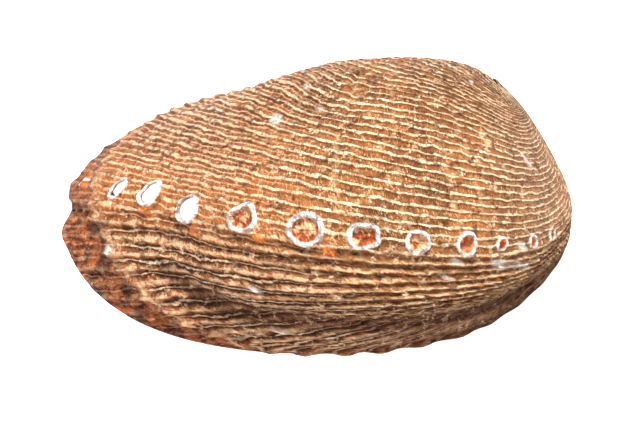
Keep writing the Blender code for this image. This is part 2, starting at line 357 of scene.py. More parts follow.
def cords(phi, beta):
    number = cord_number(phi)
    size = np.exp(-GROWTH * beta)
    place = number + waver(np.round(number), beta) * 0.7
    thick = np.clip(0.5 + 0.5 * np.cos(2 * np.pi * place), 0, 1)
    below = smooth_step((number - CORDS_ABOVE) / 2)
    young = smooth_step((62 - np.degrees(beta)) / 30)
    second = np.clip(-np.cos(2 * np.pi * place), 0, 1)**3
    bead = 1 + 0.35 * np.sin(np.degrees(beta) * 1.7 + np.round(number) * 2.3) * below
    near_suture = 0.45 + 0.55 * smooth_step((number - 2) / 8)
    threads = (THREAD_HEIGHT * thick**2.2 + SECOND_THREAD * young * second) * near_suture
    flange = smooth_step((number - 43) / 6)
    ropes = (ROPE_HEIGHT * thick**1.2 * bead + SECOND_ROPE * young * second) * (1 - 0.75 * flange)
    return (threads * (1 - below) + ropes * below) * (0.35 + 0.65 * size)


print("a cord of the young shell stands", THREAD_HEIGHT, "mm high, a rope", ROPE_HEIGHT)

# %% [markdown]
# The fold. Under the row of pores the real shell is pressed in to a long groove that ends at the
# flange. It lies at nearly one height all round, so it is drawn by heading and rise, not by age.
# %% The fold under the row
FOLD_HEADINGS = (205, 233, 262, 290, 318, 340)
FOLD_RISES = (12, 17, 20, 16.5, 8, 1)
FOLD_DEPTH, FOLD_SWELL = 2.0, 0.9


def fold(disc):
    """The groove under the row of pores, and the swelling above it."""
    way = direction_of(disc)
    heading = np.degrees(np.arctan2(way[..., 1], way[..., 0])) % 360
    rise = np.arcsin(np.clip(way[..., 2], -1, 1))
    line = np.interp(heading, FOLD_HEADINGS, FOLD_RISES) * DEG
    reach = smooth_step((heading - 205) / 35) * smooth_step((345 - heading) / 18)
    off = (rise - line) / (3.2 * DEG)
    groove = -FOLD_DEPTH * np.exp(-off**2)
    swell = FOLD_SWELL * np.exp(-((off - 2.6) / 1.6)**2)
    return reach * (groove + swell) * smooth_step(np.degrees(rise) / 4)


print("the fold is", FOLD_DEPTH, "mm deep")

# %% [markdown]
# Growth. Whenever the animal paused it left a small step across all the cords, and the last strip
# at the lip is a thick lumpy ridge. Each pause is given by its age in degrees and its depth.
# %% Growth steps and the newest strip
PAUSES = ((9.5, 0.9), (22, 0.25), (38, 0.3), (52, 0.2), (68.6, 0.45), (84, 0.25), (98.4, 0.4),
          (107.3, 0.3), (123.8, 0.4), (145.5, 0.4), (165, 0.3), (186, 0.3), (210, 0.3))
LAST_PAUSE = 9.5 * DEG


def lip_lumps(number, turn, beta):
    """Uneven lumps on the newest strip, from the middle of the lip outwards."""
    lumps = np.sin(number * 2.3 + turn * 0.9) * np.sin(number * 0.9 - turn * 1.3)
    lumps = lumps + 0.5 * np.sin(number * 4.1 + turn * 2.1)
    return 0.5 * lumps * np.exp(-(np.degrees(beta) / 8)**2) * smooth_step((number - 24) / 8)


def relief(phi, beta):
    size = np.exp(-GROWTH * beta)
    number = cord_number(phi)
    off = phi - ROW_LINE
    row = 0.7 * np.exp(-(off / (6 * DEG))**2)
    below = -0.8 * np.exp(-((off - 9 * DEG) / (4 * DEG))**2)
    channel = -0.8 * np.exp(-((phi - SUTURE) / (14 * DEG))**2)
    turn = np.degrees(beta) + 1.1 * np.sin(number * 0.9)
    pauses = sum(-deep * np.exp(-np.clip(turn - place, -30, 30)**2 / 1.4)
                 + 0.5 * deep * np.exp(-(turn - place + 3)**2 / 8) for place, deep in PAUSES[1:])
    ridge = np.exp(-((beta - LAST_PAUSE) / (2.2 * DEG))**2) * (1 + 0.25 * np.cos(number * 2 * np.pi))
    return (row + below + channel + pauses) * size + ridge + lip_lumps(number, turn, beta) + cords(phi, beta)


def lip_outline(phi, beta):
    """The dent and the two bumps in the lip's edge beside the youngest pore."""
    off = np.degrees(phi - ROW_LINE)
    dent = -1.3 * np.exp(-((off - 4.8) / 2.2)**2)
    bumps = 0.5 * np.exp(-((off - 0.8) / 1.5)**2) + 0.5 * np.exp(-((off - 9.5) / 1.8)**2)
    return (dent + bumps) * np.clip(1 - beta / (7 * DEG), 0, 1)


print("growth pauses:", len(PAUSES))

# %% [markdown]
# The row of pores. The animal breathes through the youngest ones and seals each older one from
# inside. Each is given by its age in degrees, its length and width in mm, how far below the row's
# line it lies in mm, and how far it slants in degrees.
# %% Places of the pores
OPEN_PORES = ((14.2, 2.2, 4.3, -0.2, 28), (22.0, 3.6, 4.6, -0.3, 30), (32.4, 4.6, 4.6, 1.0, 12))
SEALED_PORES = (
    (47.0, 5.6, 5.0, 0.3, 0), (60.0, 6.1, 5.6, 0.3, 0), (72.2, 5.5, 4.3, 0, 0), (84.6, 4.3, 3.7, 0, 0),
    (97.8, 3.7, 3.9, -0.2, 0), (109.8, 2.4, 2.3, -0.2, 0), (124.5, 2.5, 2.3, 0.1, 0),
    (139.5, 2.4, 2.2, 0.2, 0),
)
PATCH_REACH = 1.45
NUDGE = 0.01


def spot_on_dome(phi, beta):
    disc = spread(disc_of(coil(np.array([phi]), np.array([beta]))))
    return (CENTRE + direction_of(disc) * dome_radius(disc)[:, None])[0]


print("pores:", len(OPEN_PORES) + len(SEALED_PORES), "of them open:", len(OPEN_PORES))

# %% [markdown]
# On the coil a degree means more mm in one way than in the other, and the two ways are not square
# to each other. An oval drawn in degrees would come out pointed, so each pore measures both ways
# on the dome first and is drawn in mm.
# %% A pore as an oval in mm


class Pore:
    def __init__(self, age, length, width, drop, slant, is_open):
        self.beta, self.length, self.is_open = age * DEG, length, is_open
        self.half = (width / 2, length / 2)
        middle = spot_on_dome(ROW_LINE, self.beta)
        by_phi = (spot_on_dome(ROW_LINE + NUDGE, self.beta) - middle) / NUDGE
        by_beta = (spot_on_dome(ROW_LINE, self.beta + NUDGE) - middle) / NUDGE
        back = by_beta / np.linalg.norm(by_beta)
        down = np.cross(back, np.cross(by_phi, back))
        down = down / np.linalg.norm(down)
        if down @ by_phi < 0:
            down = -down
        self.phi = ROW_LINE + drop / (by_phi @ down)
        turn = slant * DEG
        long_way = down * np.cos(turn) - back * np.sin(turn)
        short_way = back * np.cos(turn) + down * np.sin(turn)
        self.to_mm = np.array([[by_phi @ long_way, by_beta @ long_way],
                               [by_phi @ short_way, by_beta @ short_way]])
        self.from_mm = np.linalg.inv(self.to_mm)

    def ring(self, phi, beta):
        """1 on the pore's edge, 0 in its middle, and the angle round it."""
        across, along = phi - self.phi, beta - self.beta
        x = (self.to_mm[0, 0] * across + self.to_mm[0, 1] * along) / self.half[0]
        y = (self.to_mm[1, 0] * across + self.to_mm[1, 1] * along) / self.half[1]
        return np.hypot(x, y), np.arctan2(x, y)

    def spot(self, ring, angle):
        x, y = ring * np.sin(angle) * self.half[0], ring * np.cos(angle) * self.half[1]
        return (self.phi + self.from_mm[0, 0] * x + self.from_mm[0, 1] * y,
                self.beta + self.from_mm[1, 0] * x + self.from_mm[1, 1] * y)


PORES = [Pore(*p, True) for p in OPEN_PORES] + [Pore(*p, False) for p in SEALED_PORES]
print("one degree across the youngest pore is", round(float(PORES[0].to_mm[0, 0] * DEG), 2), "mm")

# %% [markdown]
# Small orange lumps stand behind the young pores, and at the very lip one pore is only half made:
# a lump with a pale crescent, which the next strip of shell would have closed to a ring.
# %% Lumps beside the pores
HALF_MADE = 5.6 * DEG
LIP_SCALE = (84, 80)
LUMP_RING, LUMP_ANGLE = 1.8, 40 * DEG
LUMP_HEIGHT, LUMP_SIZE, LIP_LUMP_SIZE = 0.7, 1.15, 1.3


def half_made_ring(phi, beta):
    """Distance in mm from the middle of the half-made pore, and how far up and left of it."""
    down, back = (phi - ROW_LINE) * LIP_SCALE[0], (beta - HALF_MADE) * LIP_SCALE[1]
    return np.hypot(down, back), -0.7 * down - 0.7 * back


def beside_pores(phi, beta):
    """1 on the small orange lumps that stand just behind and below the young pores."""
    share = np.exp(-(half_made_ring(phi, beta)[0] / LIP_LUMP_SIZE)**2)
    for pore in PORES[1:5]:
        lump_phi, lump_beta = pore.spot(LUMP_RING, LUMP_ANGLE)
        x, y = pore.to_mm[:, 0], pore.to_mm[:, 1]
        off = (np.asarray(phi) - lump_phi)[..., None] * x + (np.asarray(beta) - lump_beta)[..., None] * y
        share = share + np.exp(-(np.linalg.norm(off, axis=-1) / LUMP_SIZE)**2)
    return np.clip(share, 0, 1)


def skin_relief(phi, beta):
    return relief(phi, beta) + LUMP_HEIGHT * beside_pores(phi, beta)


print("lumps beside pores:", len(PORES[1:5]) + 1)

# %% [markdown]
# The skin. A grid over the coil: across the lip from the suture to the line where the next turn
# attaches, then on to the margin, and back in time to the tip of the spire. Its lines run along the
# cords, so a cord never breaks up into steps as it would on a plain grid.
# %% Grid of the skin
ROWS, SPIRE_ROWS = 240, 150
UPPER, LOWER = 165, 96
WIDENING = 2.5


def row_ages():
    """Rows lie closer together on the young shell, where one degree covers more."""
    run = (WIDENING**(np.arange(ROWS) / ROWS) - 1) / (WIDENING - 1)
    row = np.arange(ROWS + SPIRE_ROWS + 1)
    return LAG * (row // ROWS + run[row % ROWS])


def skin_grid():
    beta = row_ages()
    edge = np.full(len(beta), ATTACH)
    edge[:ROWS + 1] = margin_phi(beta[:ROWS + 1])
    edge[ROWS] = ATTACH
    attach_length = np.interp(ATTACH, PHI_TABLE, LENGTH_TABLE)
    upper = np.interp(np.linspace(0, attach_length, UPPER + 1), LENGTH_TABLE, PHI_TABLE)
    upper[-1] = ATTACH
    share = np.linspace(0, 1, LOWER + 1)[1:, None]
    phi = np.vstack([np.tile(upper[:, None], (1, len(beta))), ATTACH + share * (edge - ATTACH)[None, :]])
    return phi, np.tile(beta, (len(phi), 1))


phi_grid, beta_grid = skin_grid()
print("grid of the skin", phi_grid.shape)

# %% [markdown]
# Each crater's rim is narrower than a mesh step, so the skin opens round each pore and a round
# patch with finer steps fills the opening later. Spots inside the opening slide out onto its edge,
# and the faces wholly inside it are left out.
# %% Openings for the pores
left_out = np.zeros((phi_grid.shape[0] - 1, phi_grid.shape[1] - 1), bool)
for pore in PORES:
    ring, angle = pore.ring(phi_grid, beta_grid)
    inside = ring < PATCH_REACH
    left_out |= inside[1:, 1:] & inside[1:, :-1] & inside[:-1, 1:] & inside[:-1, :-1]
    new_phi, new_beta = pore.spot(PATCH_REACH, angle)
    phi_grid = np.where(inside, new_phi, phi_grid)
    beta_grid = np.where(inside, new_beta, beta_grid)
print("faces left out for the pores", int(left_out.sum()))

# %% [markdown]
# Laying the skin on the dome. The lip and the margin lie on the rest plane, and from the first
# whole turn on, the suture lies where the turn before it was attached.
# %% The skin on the dome
EDGE_START, EDGE_SOFT = 0.97, 0.03
SMALLEST_TURN = 0.06 * DEG


def place_skin(phi, beta, on_rim=None):
    """Disc spots of the skin. Spots of the rim lie on the rest plane and all others inside it."""
    disc = spread(disc_of(coil(phi, beta)))
    far = np.linalg.norm(disc, axis=-1, keepdims=True)
    pressed = 1 - EDGE_SOFT * np.exp(-(far - EDGE_START) / EDGE_SOFT)
    inside = np.where(far > EDGE_START, pressed, far)
    if on_rim is not None:
        inside = np.where(on_rim[..., None], 1.0, inside)
    return disc / far * inside


def raise_skin(disc, out):
    """Lifts disc spots onto the dome and the relief, which fades out just above the rest plane."""
    points = CENTRE + direction_of(disc) * dome_radius(disc)[..., None]
    low = smooth_step(points[..., 2] / 1.6)
    return points + direction_of(disc) * (out * low + fold(disc))[..., None]


def lay_skin():
    on_rim = np.zeros(phi_grid.shape, bool)
    on_rim[:, 0] = True
    on_rim[-1, :ROWS + 1] = True
    disc = place_skin(phi_grid, beta_grid, on_rim)
    # the margin runs on along the rim and never turns back
    heading = np.unwrap(np.arctan2(disc[-1, :ROWS + 1, 1], disc[-1, :ROWS + 1, 0]))
    for j in range(1, ROWS):
        heading[j] = max(heading[j], heading[j - 1] + SMALLEST_TURN)
        disc[-1, j] = np.cos(heading[j]), np.sin(heading[j])
    again = phi_grid.shape[1] - ROWS
    disc[0, :again] = disc[UPPER, ROWS:]
    out = skin_relief(phi_grid, beta_grid)
    out[0, :again] = out[UPPER, ROWS:]
    points = raise_skin(disc, out)
    return points + direction_of(disc) * lip_outline(phi_grid, beta_grid)[..., None]


skin_points = lay_skin()
print("skin height in mm", round(float(skin_points[..., 2].max()), 1))

# %% Faces of the skin


def skin_faces():
    number = np.arange(phi_grid.size).reshape(phi_grid.shape)
    faces = []
    for j in range(phi_grid.shape[1] - 1):
        last = phi_grid.shape[0] - 1 if j < ROWS else UPPER
        for i in range(last):
            if not left_out[i, j]:
                faces.append((number[i, j], number[i, j + 1], number[i + 1, j + 1], number[i + 1, j]))
    tip = list(number[0, SPIRE_ROWS:]) + list(number[1:UPPER + 1, -1])
    for low, high in zip(tip, tip[1:]):
        faces.append((low, phi_grid.size, high))
    return faces


tip_disc = disc_of(APEX[None])
tip_point = CENTRE + direction_of(tip_disc) * dome_radius(tip_disc)[:, None]
all_points = [skin_points.reshape(-1, 3), tip_point]
all_faces = skin_faces()
all_phi = [phi_grid.reshape(-1), [SUTURE]]
all_beta = [beta_grid.reshape(-1), [beta_grid.max()]]
FAR_FROM_PORES = 3.0
all_ring = [np.full(phi_grid.size + 1, FAR_FROM_PORES)]
print("faces of the skin", len(all_faces))

# %% [markdown]
# The shell's wall. It is thin at the lip and over the dome, and broad on the pore side, where the
# real shell has a flat shelf to rest on. The pores need to know this surface, because the walls of
# the open ones run down to it. They slant, so that light from the table shows through them.
# %% Thickness of the wall
WALL, LIP_WALL, SHELF_WALL = 2.1, 1.5, 4.2
SLANT = np.array([0.0, 0.636, -0.772])


def inner_radius(disc):
    """How far the surface of the hollow lies from the centre in each direction."""
    way = direction_of(disc)
    turn = np.degrees(np.arctan2(way[..., 1], way[..., 0])) % 360
    rise = np.arcsin(np.clip(way[..., 2], 0, 1))
    shelf = smooth_step((turn - 205) / 30) * smooth_step((350 - turn) / 30)
    edge_wall = LIP_WALL + (SHELF_WALL - LIP_WALL) * shelf
    dent = -0.6 * np.exp(-((turn - 184) / 6)**2) * np.clip(1 - rise / (10 * DEG), 0, 1)
    up = smooth_step(rise / (14 * DEG))
    return dome_radius(disc) + fold(disc) + dent - (edge_wall * (1 - up) + WALL * up)


def wall_depth(points):
    """How far a pore's wall runs along its slant before it meets the hollow."""
    depth = np.zeros(len(points))
    for _ in range(30):
        spots = points + SLANT * depth[:, None]
        depth = depth + 0.9 * (np.linalg.norm(spots - CENTRE, axis=-1) - inner_radius(disc_of(spots)))
    return depth


print("wall over the dome in mm", WALL)

# %% [markdown]
# The patches. A crater rim, uneven as on the real shell, and inside it a lumpy plug below the
# surface, or for an open pore a wall that goes down through the shell. Each patch is a set of rings,
# from its edge under the skin to its middle or its mouth in the hollow.
# %% Rings of a crater
SPOKES = 44
TUCK, TUCK_DEPTH = 0.06, 0.12
WALL_SHARES = (0.06, 0.2, 0.45, 0.75, 1.0)
OPEN_RIM, SEALED_RIM, RIM_WIDTH = 1.0, 0.88, 0.15
PLUG_DEPTH, PLUG_LUMP = 0.4, 0.5


def crater_rings(is_open):
    if is_open:
        slope = list(np.linspace(PATCH_REACH, 0.90, 12))
        return [PATCH_REACH + TUCK] + slope + [0.87, 0.86, 0.86, 0.86, 0.86]
    return [PATCH_REACH + TUCK] + list(np.linspace(PATCH_REACH, 0.92, 9)) + list(np.linspace(0.84, 0.0, 9))


def uneven(rng, size, angle, waves):
    return sum(rng.normal() * size * np.sin(k * angle + rng.uniform(0, 6.3)) for k in waves)


def plug_height(ring, angle, lumps, length):
    """The sealed floor of a crater: a hollow with lumps in it."""
    height = -PLUG_DEPTH * smooth_step((0.76 - ring) / 0.16)
    for middle, turn, size in lumps:
        gap = np.hypot(ring * np.cos(angle) - middle * np.cos(turn),
                       ring * np.sin(angle) - middle * np.sin(turn))
        lump = PLUG_LUMP * size * length / 5 * np.exp(-(gap / size)**2)
        height = height + lump * smooth_step((0.72 - ring) / 0.2)
    return height


print("rings of a sealed and an open crater", len(crater_rings(False)), len(crater_rings(True)))

# %% One patch


def patch(pore, seed):
    rings = crater_rings(pore.is_open)
    angle = np.arange(SPOKES) * 2 * np.pi / SPOKES
    rng = np.random.default_rng(seed)
    shape = uneven(rng, 0.03, angle, (2, 3, 4, 5))
    crest = 1 + uneven(rng, 0.13, angle, (1, 2, 3, 6))
    lumps = [(rng.uniform(0, 0.5), rng.uniform(0, 6.3), rng.uniform(0.1, 0.3)) for _ in range(8)]
    tall = 0.2 + 0.13 * pore.length
    rim_at = OPEN_RIM if pore.is_open else SEALED_RIM
    base = relief(np.array([ROW_LINE]), np.array([pore.beta]))[0] * 0.7
    wall_start = len(rings) - len(WALL_SHARES)
    points, phis, betas, ringed = [], [], [], []
    for k, ring in enumerate(rings):
        phi, beta = pore.spot(ring * (1 + shape * np.exp(-((ring - 0.8) / 0.5)**2)), angle)
        fade = smooth_step((ring - 0.9) / 0.45)
        out = skin_relief(phi, beta) * fade + base * (1 - fade)
        out = out + tall * crest * np.exp(-((ring - rim_at) / RIM_WIDTH)**2)
        if not pore.is_open:
            out = out + plug_height(ring, angle, lumps, pore.length)
        if k == 0:
            out = out - TUCK_DEPTH
        ring_points = raise_skin(place_skin(phi, beta), out)
        if pore.is_open and k >= wall_start:
            run = WALL_SHARES[k - wall_start] * wall_depth(ring_points)
            ring_points = ring_points + SLANT * run[:, None]
            pore.mouth = ring_points
        points.append(ring_points)
        phis.append(phi)
        betas.append(beta)
        ringed.append(np.full(SPOKES, ring - 0.1 if pore.is_open else ring))
    return points, phis, betas, ringed


def add_patch(pore, seed):
    first = sum(len(p) for p in all_points)
    points, phis, betas, ringed = patch(pore, seed)
    for k in range(len(points) - 1):
        for i in range(SPOKES):
            after = (i + 1) % SPOKES
            a, b = first + k * SPOKES, first + (k + 1) * SPOKES
            all_faces.append((a + i, b + i, b + after, a + after))
    all_points.extend(points)
    all_phi.extend(phis)
    all_beta.extend(betas)
    all_ring.extend(ringed)


for seed, pore in enumerate(PORES):
    add_patch(pore, seed + 3)
print("faces with the pores", len(all_faces))

# %% [markdown]
# Numbers for the finish, one for each spot: cord number, age, closeness to a pore, and where chalk,
# crust and the warm colours lie. The worn chalky spots and the crust are where the photo has them,
# each chalk spot given by its phi and beta in degrees and its size.
# %% Numbers for the finish
CHALK = ((155, 59.3, 2.2), (163, 49.5, 2.2), (150, 51, 1.8), (97, 134, 5), (154.5, 146, 3),
         (158.5, 148, 2.5), (196.5, 9, 1.6), (201, 37.5, 1.6), (214.5, 23.2, 1.6), (190, 91.5, 2.5),
         (192, 104, 4), (194, 112, 4), (196, 84, 2), (186, 118, 3))
CRESCENT_RING, CRESCENT_WIDTH = 1.5, 0.35


def finish_numbers(phi, beta, points):
    turn, head = np.degrees(beta), np.degrees(phi)
    chalk = sum(np.exp(-((head - a) / s)**2 - ((turn - b) / s)**2) for a, b, s in CHALK)
    right, front, low = (points[:, 0] - 6) / 14, (-18 - points[:, 1]) / 7, (16 - points[:, 2]) / 8
    far, upper_left = half_made_ring(phi, beta)
    crescent = np.exp(-((far - CRESCENT_RING) / CRESCENT_WIDTH)**2) * smooth_step(upper_left + 0.4)
    return {
        "cord": cord_number(phi), "age": turn, "head": head, "chalk": np.clip(chalk, 0, 1),
        "crust": smooth_step(right) * smooth_step(front) * smooth_step(low),
        "near_row": np.exp(-((head - 184) / 7.0)**2) * smooth_step((75 - turn) / 40),
        "groove": smooth_step(-fold(disc_of(points)) / 1.6),
        "lump": beside_pores(phi, beta), "crescent": crescent,
    }


points = np.vstack(all_points)
numbers = finish_numbers(np.concatenate(all_phi), np.concatenate(all_beta), points)
numbers["ring"] = np.concatenate(all_ring)
print("numbers for each spot:", len(numbers))

# %% The mesh of the back


def make_mesh(name, points, faces, numbers):
    data = bpy.data.meshes.new(name)
    corners = [tuple(int(i) for i in face) for face in faces]
    data.from_pydata(((points - MIDDLE) * MM).tolist(), [], corners)
    for key, values in numbers.items():
        data.attributes.new(key, "FLOAT", "POINT").data.foreach_set("value", np.asarray(values, np.float32))
    data.polygons.foreach_set("use_smooth", np.ones(len(data.polygons), bool))
    data.update()
    thing = bpy.data.objects.new(name, data)
    bpy.context.scene.collection.objects.link(thing)
    return thing


back = make_mesh("shell_back", points, all_faces, numbers)
print("triangles of the back", sum(len(p.vertices) - 2 for p in back.data.polygons))

# %% [markdown]
# The hollow. Inside, the animal laid down smooth mother-of-pearl, so this surface has no cords. It
# follows the dome one wall in from it, from the flat ring that the shell rests on up to the roof.
# %% Rings of the hollow
LOW_RISES = (0, 1.5, 3, 5)
HIGH_RISES = np.linspace(7, 84, 60)


def hollow():
    rim = np.vstack([skin_points[:, 0], skin_points[-1, 1:ROWS]])
    way = rim - CENTRE
    heading = np.arctan2(way[:, 1], way[:, 0])
    rings = [rim]
    for rise in np.concatenate([LOW_RISES, HIGH_RISES]) * DEG:
        size = np.tan((np.pi / 2 - rise) / 2)
        disc = size * np.stack([np.cos(heading), np.sin(heading)], -1)
        rings.append(CENTRE + direction_of(disc) * inner_radius(disc)[:, None])
    return rings


pearl_rings = hollow()
count = len(pearl_rings[0])
top = (len(pearl_rings) - 1) * count
roof = CENTRE + np.array([[0, 0, TOP_RADIUS - WALL]])
pearl_points = np.vstack(pearl_rings + [roof])
pearl_faces = []
for i in range(count):
    after = (i + 1) % count
    for k in range(0, top, count):
        pearl_faces.append((k + i, k + count + i, k + count + after, k + after))
    pearl_faces.append((top + i, len(pearl_points) - 1, top + after))
print("faces of the hollow", len(pearl_faces))

# %% [markdown]
# The open pores go through the pearl too. Its points in front of a pore slide out to the end of the
# pore's wall, so the two surfaces meet there, and the faces wholly in front of it are left out.
# %% Pores in the pearl
gone = np.zeros(len(pearl_points), bool)
for pore in PORES[:len(OPEN_PORES)]:
    mouth = disc_of(pore.mouth)
    middle = mouth.mean(0)
    off, edge = disc_of(pearl_points) - middle, mouth - middle
    reach = np.interp(np.arctan2(off[:, 1], off[:, 0]), np.arctan2(edge[:, 1], edge[:, 0]),
                      np.linalg.norm(edge, axis=-1), period=2 * np.pi)
    share = np.maximum(np.linalg.norm(off, axis=-1) / reach, 1e-6)
    inside = share < 1
    moved = middle + off[inside] / share[inside][:, None]
    pearl_points[inside] = CENTRE + direction_of(moved) * inner_radius(moved)[:, None]
    gone |= inside
kept_faces = [face for face in pearl_faces if not all(gone[i] for i in face)]
pearl = make_mesh("pearl_hollow", pearl_points, kept_faces, {})
print("pearl faces taken out", len(pearl_faces) - len(kept_faces))

# %% [markdown]
# The finishes. The back is lime with a brown organic skin: pale where a cord is worn, red-brown in
# between, crossed by fine hatching from the daily growth. It is made from the numbers above with
# noise and waves, because a picture laid on it would not follow the cords round the sides. These
# short helpers each add one shader node and hand back its output.
# %% Helpers for the finishes
material = None


def new_material(name):
    global material
    material = bpy.data.materials.new(name)
    material.use_nodes = True
    return material.node_tree.nodes["Principled BSDF"]


def node(kind, **settings):
    made = material.node_tree.nodes.new(kind)
    for key, value in settings.items():
        setattr(made, key, value)
    return made


def feed(socket, value):
    if isinstance(value, bpy.types.NodeSocket):
        material.node_tree.links.new(value, socket)
    else:
        socket.default_value = value


def calc(operation, a, b=0.0):
    made = node("ShaderNodeMath", operation=operation)
    feed(made.inputs[0], a)
    feed(made.inputs[1], b)
    return made.outputs[0]


def times(a, b):
    return calc("MULTIPLY", a, b)


def plus(a, b):
    return calc("ADD", a, b)


def distance(a, b):
    return calc("ABSOLUTE", calc("SUBTRACT", a, b))


def number(name):
    return node("ShaderNodeAttribute", attribute_name=name).outputs["Fac"]


def mix(share, a, b, **settings):
    made = node("ShaderNodeMix", data_type="RGBA", **settings)
    feed(made.inputs[0], share)
    for socket, value in ((made.inputs[6], a), (made.inputs[7], b)):
        feed(socket, value if isinstance(value, bpy.types.NodeSocket) else (*value, 1.0))
    return made.outputs[2]


def ramp(value, low, high):
    """0 below low, 1 above high."""
    made = node("ShaderNodeMapRange", interpolation_type="SMOOTHSTEP")
    for socket, given in zip(made.inputs, (value, low, high, 0.0, 1.0)):
        feed(socket, given)
    return made.outputs[0]


def noise(scale, detail=4.0, vector=None, rough=0.6):
    made = node("ShaderNodeTexNoise")
    feed(made.inputs["Vector"], vector or node("ShaderNodeTexCoord").outputs["Object"])
    feed(made.inputs["Scale"], scale)
    feed(made.inputs["Detail"], detail)
    feed(made.inputs["Roughness"], rough)
    return made.outputs["Fac"]


def vector_of(x, y, z=0.0):
    made = node("ShaderNodeCombineXYZ")
    for socket, value in zip(made.inputs, (x, y, z)):
        feed(socket, value)
    return made.outputs[0]


def bumps(shader, height, distance_m, strength):
    made = node("ShaderNodeBump")
    feed(made.inputs["Height"], height)
    feed(made.inputs["Distance"], distance_m)
    feed(made.inputs["Strength"], strength)
    feed(shader.inputs["Normal"], made.outputs[0])


print("helpers are ready")

# %% [markdown]
# Where the cords are. The colour repeats once for each cord number, shifted by the same kind of
# wander as the real cords have. The hatching is a noise stretched along the lip.
# %% Cords and hatching in the finish
FULL_TURN = 6.2832
shader = new_material("brown_shell_back")
cord, age, head, ring = number("cord"), number("age"), number("head"), number("ring")
wander = noise(1.0, 3.0, vector_of(times(cord, 0.7), times(age, 0.16)))
cord_angle = times(plus(cord, calc("SUBTRACT", wander, 0.5)), FULL_TURN)
crest_wave = calc("COSINE", cord_angle)
thread = ramp(crest_wave, 0.42, 0.90)
second = ramp(times(crest_wave, -1.0), 0.86, 1.0)
young = ramp(age, 70.0, 35.0)
below = ramp(cord, 34.3, 35.6)
hatch = ramp(noise(1.0, 4.0, vector_of(times(cord, 1.3), times(age, 2.2)), 0.7), 0.46, 0.62)
print("cords and hatching are placed")

# %% [markdown]
# Brown between the cords. The real skin goes from nearly black-red to orange in patches, and turns
# duller with age. The lower side of each cord lies in its own shade. The thick ropes below the row
# are orange-brown with dark grooves, and the strip beside the young pores is ochre.
# %% Browns
DARK_BROWN, RED_BROWN, ORANGE_BROWN = (0.080, 0.020, 0.007), (0.31, 0.095, 0.024), (0.46, 0.185, 0.052)
OLD_BROWN, HATCH_PALE, CORD_SHADE = (0.24, 0.12, 0.05), (0.76, 0.45, 0.20), (0.075, 0.024, 0.008)
GROOVE_YOUNG, GROOVE_OLD = (0.030, 0.010, 0.004), (0.17, 0.072, 0.028)
ROPE_DARK, ROPE_PALE = (0.30, 0.095, 0.022), (0.84, 0.52, 0.24)
OCHRE_DARK, OCHRE_PALE = (0.42, 0.13, 0.022), (0.66, 0.34, 0.11)
brown = mix(ramp(noise(70.0, 5.0), 0.38, 0.66), DARK_BROWN, RED_BROWN)
brown = mix(times(ramp(noise(260.0, 5.0, rough=0.7), 0.42, 0.66), 0.6), brown, ORANGE_BROWN)
brown = mix(times(ramp(age, 60.0, 150.0), 0.35), brown, OLD_BROWN)
colour = mix(times(hatch, 0.7), brown, HATCH_PALE)
shade = ramp(calc("SINE", cord_angle), 0.35, 0.95)
colour = mix(times(shade, 0.55), colour, CORD_SHADE)
rope_groove = mix(ramp(age, 30.0, 85.0), GROOVE_YOUNG, GROOVE_OLD)
ropes = mix(ramp(crest_wave, -0.6, 0.7), rope_groove, mix(hatch, ROPE_DARK, ROPE_PALE))
colour = mix(below, colour, ropes)
colour = mix(times(number("near_row"), 0.8), colour, mix(hatch, OCHRE_DARK, OCHRE_PALE))
print("browns are mixed")

# %% [markdown]
# Cream threads run on the crests of the cords, broken where they are worn, with thinner ones
# between them on the young part.
# %% Cream threads
CREAM_DARK, CREAM_PALE = (0.76, 0.54, 0.31), (1.0, 0.90, 0.70)
cream = mix(noise(180.0), CREAM_DARK, CREAM_PALE)
worn_thread = times(thread, ramp(noise(420.0, 3.0), 0.30, 0.52))
above = calc("SUBTRACT", 1.0, below)
colour = mix(times(worn_thread, plus(times(above, 0.3), 0.62)), colour, cream)
colour = mix(times(times(second, young), 0.7), colour, cream)
print("threads are drawn")

# %% [markdown]
# Growth pauses leave pale, slightly wavy lines across all the cords, stronger where the pause was
# deeper.
# %% Growth lines
LINE_PALE = (0.78, 0.56, 0.32)
line_wander = calc("SUBTRACT", noise(1.0, 3.0, vector_of(times(cord, 0.9), 0.0)), 0.5)
wavy_age = plus(age, times(line_wander, 5.0))
line_worn = ramp(noise(230.0, 4.0, rough=0.7), 0.38, 0.62)
for place, deep in PAUSES:
    line = ramp(distance(wavy_age, place), 0.8 + 1.4 * deep, 0.2)
    colour = mix(times(times(line, line_worn), 0.12 + 0.6 * deep), colour, LINE_PALE)
print("growth lines:", len(PAUSES))

# %% [markdown]
# A grey-brown crust of old growth covers the low front on the right. The turned-under flange is
# redder, the fold is dark, and dark pits and pale grains lie all over the back.
# %% Crust, fold, pits and grains
CRUST_DARK, CRUST_PALE = (0.075, 0.036, 0.014), (0.66, 0.44, 0.25)
FLANGE_RED, FOLD_DARK = (0.20, 0.058, 0.018), (0.085, 0.026, 0.010)
PIT_DARK, GRAIN_PALE = (0.055, 0.020, 0.008), (0.98, 0.80, 0.55)
crust = number("crust")
crust_colour = mix(ramp(noise(300.0, 6.0, rough=0.75), 0.4, 0.62), CRUST_DARK, CRUST_PALE)
colour = mix(times(crust, 0.7), colour, crust_colour)
flange = times(ramp(head, 214.0, 232.0), ramp(noise(240.0, 4.0), 0.32, 0.5))
colour = mix(times(flange, 0.3), colour, FLANGE_RED)
colour = mix(times(number("groove"), 0.6), colour, FOLD_DARK)
colour = mix(times(ramp(noise(620.0, 5.0, rough=0.75), 0.49, 0.37), 0.78), colour, PIT_DARK)
colour = mix(times(ramp(noise(560.0, 5.0, rough=0.8), 0.55, 0.66), 0.6), colour, GRAIN_PALE)
print("crust and pits are laid")

